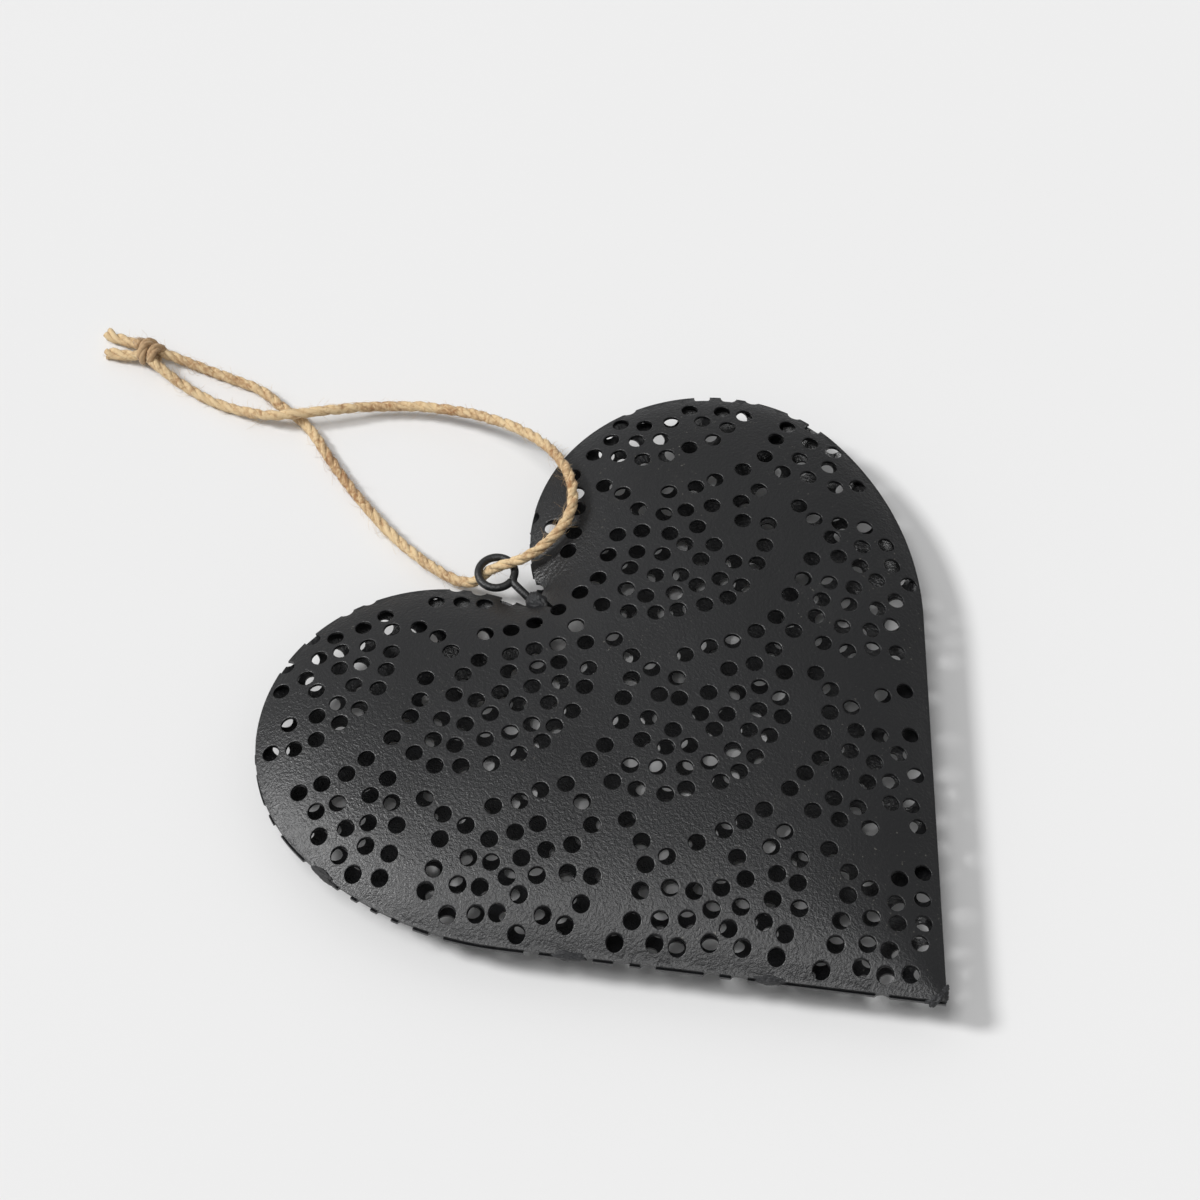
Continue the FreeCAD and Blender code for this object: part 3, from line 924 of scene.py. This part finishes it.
@dataclass(frozen=True)
class Rope:
    """Loosely spun jute: plies twisted together, with stray fibres."""

    radius: float = 0.75 * MM
    plies: int = 3
    ply_radius: float = 0.44 * MM
    pitch: float = 6.2 * MM
    sides: int = 10
    spacing: float = 0.35 * MM
    wander: float = 0.7  # unevenness of the twist, in radians
    wander_scale: float = 90.0
    wander_gap: float = 7.0
    swell: float = 0.1
    bumps: float = 0.2
    bump_scale: float = 500.0
    bump_reach: float = 1.5
    bump_gap: float = 5.0
    fuzz_per_metre: float = 5200.0
    fuzz_radius: float = 0.022 * MM
    fuzz_reach: float = 0.55 * MM
    fuzz_root: float = 0.93  # where a fibre starts, as a share of the rope's radius
    fuzz_taper: float = 0.6
    fuzz_steps: tuple[int, int] = (4, 8)
    floor_gap: float = 0.05 * MM
    seed: int = 11

    def ply(self, bm: Mesh, lay: Lay, number: int, splay: float) -> None:
        """Grow one ply along the line by extruding a ring from point to point.

        Args:
            bm: The bmesh that gets the ply.
            lay: The rope's centreline.
            number: The ply's number.
            splay: How far it parts from the others towards the end, as a share of its offset.
        """
        first = bmesh.ops.create_circle(bm, cap_ends=False, segments=self.sides, radius=self.ply_radius)
        ring = first["verts"]
        edges = list({edge for vert in ring for edge in vert.link_edges})
        first_edges = edges
        offset = self.radius - self.ply_radius
        total = lay.lengths[-1] - lay.lengths[0]
        order = {vert: i for i, vert in enumerate(ring)}
        stations = zip(lay.points, lay.tangents, lay.sides, lay.lengths)
        for i, (point, tangent, side, length) in enumerate(stations):
            if i:
                parents = {tuple(v.co): order[v] for v in order}
                grown = bmesh.ops.extrude_edge_only(bm, edges=edges)
                edges = new_edges(grown)
                order = {v: parents[tuple(v.co)] for v in new_verts(grown)}
            up = tangent.cross(side)
            slow = noise.noise(Vector((length * self.wander_scale, number * self.wander_gap, self.seed)))
            turn = 2 * math.pi * (length / self.pitch + number / self.plies) + self.wander * slow
            out = side * math.cos(turn) + up * math.sin(turn)
            onward = up * math.cos(turn) - side * math.sin(turn)
            spread = 1 + splay * max(0, (length - lay.lengths[0]) / total) ** 2
            centre = point + out * offset * spread
            lean = (tangent + onward * offset * 2 * math.pi / self.pitch).normalized()
            across = lean.cross(out).normalized()
            for vert, corner in order.items():
                angle = 2 * math.pi * corner / self.sides
                x, y = math.cos(angle), math.sin(angle)
                around = y * self.bump_reach + number * self.bump_gap
                spot = Vector((length * self.bump_scale, x * self.bump_reach, around))
                radius = self.ply_radius * (1 + self.bumps * noise.noise(spot) + self.swell * slow)
                vert.co = centre + (out * x + across * y) * radius
        for ends in (first_edges, edges):
            bmesh.ops.contextual_create(bm, geom=ends)

    def fuzz(self, lay: Lay) -> bpy.types.Mesh:
        """Lay stray fibres along the plies, which lift off towards their ends.

        Args:
            lay: The rope's centreline.

        Returns:
            A mesh of thin tubes.
        """
        luck = random.Random(self.seed)
        curve = bpy.data.curves.new("fuzz", "CURVE")
        curve.dimensions = "3D"
        curve.bevel_depth = self.fuzz_radius
        curve.bevel_resolution = 0
        count = int((lay.lengths[-1] - lay.lengths[0]) * self.fuzz_per_metre)
        for _ in range(count):
            start = luck.randrange(len(lay.points) - 2)
            sense = luck.choice((1, 1, -1))
            turn = luck.uniform(0, 2 * math.pi)
            lift = abs(luck.gauss(0, 1)) * self.fuzz_reach
            hair = curve.splines.new("POLY")
            steps = luck.randint(*self.fuzz_steps)
            hair.points.add(steps)
            for step, target in enumerate(hair.points):
                i = min(max(start + sense * step, 0), len(lay.points) - 1)
                up = lay.tangents[i].cross(lay.sides[i])
                angle = turn + 2 * math.pi * (lay.lengths[i] - lay.lengths[start]) / self.pitch
                out = lay.sides[i] * math.cos(angle) + up * math.sin(angle)
                reach = self.radius * self.fuzz_root + lift * (step / steps) ** 2
                target.co = (*(lay.points[i] + out * reach), 1)
                target.radius = 1 - self.fuzz_taper * step / steps
        piece = bpy.data.objects.new("fuzz", curve)
        mesh = bpy.data.meshes.new_from_object(piece)
        bpy.data.objects.remove(piece)
        bpy.data.curves.remove(curve)
        return mesh

    def build(self, name: str, lays: list[Lay], material: Material, splay: float = 0.0) -> Piece:
        """Model stretches of rope as one piece.

        Args:
            name: The piece's name.
            lays: The centrelines.
            material: Its material.
            splay: How far the plies part towards each stretch's end, as a share of their offset.

        Returns:
            The piece, linked to the scene.
        """
        bm = bmesh.new()
        for lay in lays:
            for number in range(self.plies):
                self.ply(bm, lay, number, splay)
        bmesh.ops.recalc_face_normals(bm, faces=bm.faces)
        for lay in lays:
            mesh = self.fuzz(lay)
            bm.from_mesh(mesh)
            bpy.data.meshes.remove(mesh)
        for vert in bm.verts:
            vert.co.z = max(vert.co.z, self.floor_gap)
        return object_from(bm, name, material)


# Routes in millimetres against the middle of the widest line and the table, from the eye outwards
LONG_ROUTE = (
    (3.2, 12.6, 9.0), (10.2, 12.3, 11.3), (14.6, 16.6, 11.0), (16.7, 22.4, 9.6), (17.3, 28.9, 7.2),
    (15.9, 36.6, 4.6), (11.8, 44.7, 2.6), (6.2, 50.3, 2.0), (1.0, 53.4, 2.9), (-5.4, 57.6, 2.9),
    (-7.4, 61.6, 1.5), (-9.2, 65.2, 0.85), (-11.5, 71.8, 0.95), (-12.4, 78.4, 2.1),
)
SHORT_ROUTE = (
    (-3.6, 17.6, 3.1), (-5.1, 23.6, 2.2), (-5.4, 31.2, 1.0), (-5.0, 39.5, 0.85), (-3.9, 47.6, 0.85),
    (-2.3, 54.5, 0.85), (-3.2, 59.5, 0.95), (-3.4, 63.6, 1.1), (-5.4, 68.3, 0.85), (-8.1, 74.2, 1.0),
    (-10.8, 79.0, 2.1),
)
LONG_TAIL = ((-11.3, 80.3, 2.1), (-12.8, 83.3, 1.2), (-13.7, 86.5, 0.85))
SHORT_TAIL = ((-12.9, 79.6, 2.1), (-14.6, 81.6, 1.2), (-15.7, 83.9, 0.85))
KNOT_START, KNOT_END = (-10.9, 77.6, 2.05), (-12.5, 80.5, 2.05)


@dataclass(frozen=True)
class Twine:
    """The hanging loop: one length of twine through the eye, knotted at its ends."""

    eye: Eye
    seat: float = 1.1 * MM
    rope: Rope = Rope()
    knot_radius: float = 1.3 * MM
    knot_turns: float = 2.2
    knot_points: int = 9
    knot_spacing: float = 0.3 * MM
    knot_ends: float = 0.82  # size of the wraps at the knot's ends, and how much wider its middle is
    knot_belly: float = 0.25
    knot_slant: float = 0.13
    tail_splay: float = 0.8

    def route(self, places: tuple[tuple[float, float, float], ...]) -> list[Vector]:
        """A route's points in the model's frame."""
        return [self.eye.outline.place(*place) for place in places]

    def knot_line(self) -> list[Vector]:
        """Wind the knot round the strands inside it.

        Returns:
            Points along its wraps.
        """
        start, end = self.route((KNOT_START, KNOT_END))
        along = end - start
        side = along.cross(Vector((0, 0, 1))).normalized()
        up = side.cross(along).normalized()
        steps = round(self.knot_turns * self.knot_points)
        points = []
        for step in range(steps + 1):
            share = step / steps
            turn = 2 * math.pi * self.knot_turns * share
            swell = self.knot_radius * (self.knot_ends + self.knot_belly * math.sin(math.pi * share))
            sweep = along * (share + self.knot_slant * math.sin(turn))
            points.append(start + sweep + (side * math.cos(turn) + up * math.sin(turn)) * swell)
        return points

    def build(self, material: Material, knot_material: Material) -> None:
        """Lay both sides, the knot and the tails.

        Args:
            material: The twine's material.
            knot_material: The knot's darker one.
        """
        exit_place = self.eye.centre + Vector((0, self.seat, 0))
        short, long = self.route(SHORT_ROUTE), self.route(LONG_ROUTE)
        whole = Lay(sampled("route", short[::-1] + [exit_place] + long, self.rope.spacing))
        middle = min(range(len(whole.points)), key=lambda i: (whole.points[i] - exit_place).length)
        wraps = Lay(sampled("wraps", self.knot_line(), self.knot_spacing))
        knot = self.rope.build("jute_knot", [wraps], knot_material)
        settle(knot, "jute_twine", "twine_knot")
        for name, places in (("long", LONG_TAIL), ("short", SHORT_TAIL)):
            lay = Lay(sampled(name, self.route(places), self.rope.spacing))
            tail = self.rope.build(f"jute_{name}_tail", [lay], material, self.tail_splay)
            settle(tail, "jute_twine", f"twine_{name}_tail")
        sides = (("short", whole.part(0, middle + 1)), ("long", whole.part(middle, len(whole.points))))
        for name, lay in sides:
            piece = self.rope.build(f"jute_{name}_side", [lay], material)
            settle(piece, "jute_twine", f"twine_{name}_side")


@dataclass(frozen=True)
class Sun:
    """A distant lamp in a direction, spread over an angle."""

    name: str
    towards: tuple[float, float, float]
    spread: float
    strength: float

    def build(self) -> None:
        """Hang the lamp."""
        data = bpy.data.lights.new(self.name, "SUN")
        data.angle = self.spread
        data.energy = self.strength
        lamp = bpy.data.objects.new(self.name, data)
        lamp.matrix_world = Vector(self.towards).to_track_quat("Z", "Y").to_matrix().to_4x4()
        bpy.context.scene.collection.objects.link(lamp)


@dataclass(frozen=True)
class Studio:
    """Pale table, daylight from the left and the camera."""

    suns: tuple[Sun, ...] = (
        Sun("window", (-0.69, 0.72, 1.0), math.radians(13), 2.0),
        Sun("ceiling", (-0.28, 0.0, 1.0), math.radians(24), 0.95),
        Sun("far_window", (0.35, 0.75, 0.7), math.radians(60), 0.12),
    )
    room_light: float = 0.31
    floor_size: float = 6.0
    floor_tone: float = 0.80
    floor_dip: float = 0.99  # the darkest of the floor's clouds against its tone
    floor_cloud: float = 9.0
    floor_stops: tuple[float, float] = (0.3, 0.7)
    camera_place: Vector = field(default_factory=lambda: Vector((-162.9, -190.05, 433.9)) * MM)
    camera_target: Vector = field(default_factory=lambda: Vector((6.9, 26.85, 6.2)) * MM)
    camera_roll: float = math.radians(-3.3)
    lens: float = 114.0

    def floor(self) -> None:
        """The pale table top."""
        bm = bmesh.new()
        bmesh.ops.create_grid(bm, x_segments=1, y_segments=1, size=self.floor_size / 2)
        nodes = Nodes("pale_table")
        shader = nodes.shader
        greys = (self.floor_tone * self.floor_dip,) * 3, (self.floor_tone,) * 3
        colour = nodes.ramp(nodes.noise(self.floor_cloud, detail=3), *zip(self.floor_stops, greys))
        nodes.link(colour, shader.inputs["Base Color"])
        shader.inputs["Roughness"].default_value = 0.8
        shader.inputs["Specular IOR Level"].default_value = 0.2
        object_from(bm, "table_top", nodes.material)

    def camera(self) -> None:
        """The photograph's view."""
        data = bpy.data.cameras.new("view")
        data.lens = self.lens
        data.sensor_width = 36.0
        data.clip_start = 0.01
        camera = bpy.data.objects.new("view", data)
        look = (self.camera_target - self.camera_place).to_track_quat("-Z", "Y").to_matrix().to_4x4()
        roll = Matrix.Rotation(self.camera_roll, 4, "Z")
        camera.matrix_world = Matrix.Translation(self.camera_place) @ look @ roll
        bpy.context.scene.collection.objects.link(camera)
        bpy.context.scene.camera = camera

    def build(self) -> None:
        """Set the scene up."""
        self.floor()
        self.camera()
        for sun in self.suns:
            sun.build()
        world = bpy.data.worlds.new("room")
        world.use_nodes = True
        background = world.node_tree.nodes["Background"]
        background.inputs["Color"].default_value = (1, 1, 1, 1)
        background.inputs["Strength"].default_value = self.room_light
        bpy.context.scene.world = world
        bpy.context.scene.view_settings.view_transform = "Standard"


def lumps(outline: HeartOutline, seam: float) -> list[SolderLump]:
    """List the solder in the cleft, at the tip and along the left flank.

    Args:
        outline: The heart's outline.
        seam: Height of the seam above the table.

    Returns:
        The lumps.
    """
    flank = outline.flank_angle - math.pi / 2
    # Name, node, place across, along and above the seam, reach (in millimetres), turn, roughness, seed
    rows = (
        ("cleft_lump", "cleft_solder", (-0.1, 6.9, 0.2), (1.5, 2.3, 2.7), 0.0, 0.16, 1.0),
        ("tip_lump", "solder_tack_tip", (-0.1, -70.1, -0.1), (1.7, 1.1, 0.95), 0.0, 0.28, 4.0),
        ("flank_lump_1", "solder_tack_1", (-46.9, -5.5, 0.0), (0.5, 2.2, 0.9), 0.12, 0.25, 7.0),
        ("flank_lump_2", "solder_tack_2", (-31.0, -35.1, 0.0), (2.4, 0.5, 0.9), flank, 0.25, 2.0),
        ("flank_lump_3", "solder_tack_3", (-14.4, -54.5, 0.0), (2.3, 0.5, 0.9), flank, 0.25, 9.0),
    )
    return [
        SolderLump(name, node, outline.place(x, y, seam / MM + z), Vector(reach) * MM, turn, roughness, seed)
        for name, node, (x, y, z), reach, turn, roughness, seed in rows
    ]


def main() -> None:
    """Build the heart and its setting."""
    logging.basicConfig(level=logging.INFO, format="%(message)s")
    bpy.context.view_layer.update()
    outline = HeartOutline()
    Studio().build()
    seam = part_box("front_shell")[0][2]
    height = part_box("back_shell")[1][2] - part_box("back_shell")[0][2]
    eye = Eye(outline, seam)
    jute = JuteFinish("jute_fibre").build()
    knot_jute = JuteFinish("jute_knot_fibre", pale=(0.5, 0.34, 0.19), brown=(0.24, 0.12, 0.055)).build()
    Twine(eye).build(jute, knot_jute)
    eye.build(BlackCoat("black_wire_coat", roughness=0.45).build())
    coat = BlackCoat("black_powder_coat").build()
    for side in Side:
        Shell(side, outline, Piercing(outline), seam, height).build(coat)
    rough_coat = BlackCoat("rough_solder_coat", tone=0.016, roughness=0.6, grain_depth=0.16 * MM, rubbed=0.8)
    rough = rough_coat.build()
    for lump in lumps(outline, seam):
        lump.build(rough)


if __name__ == "__main__":
    main()
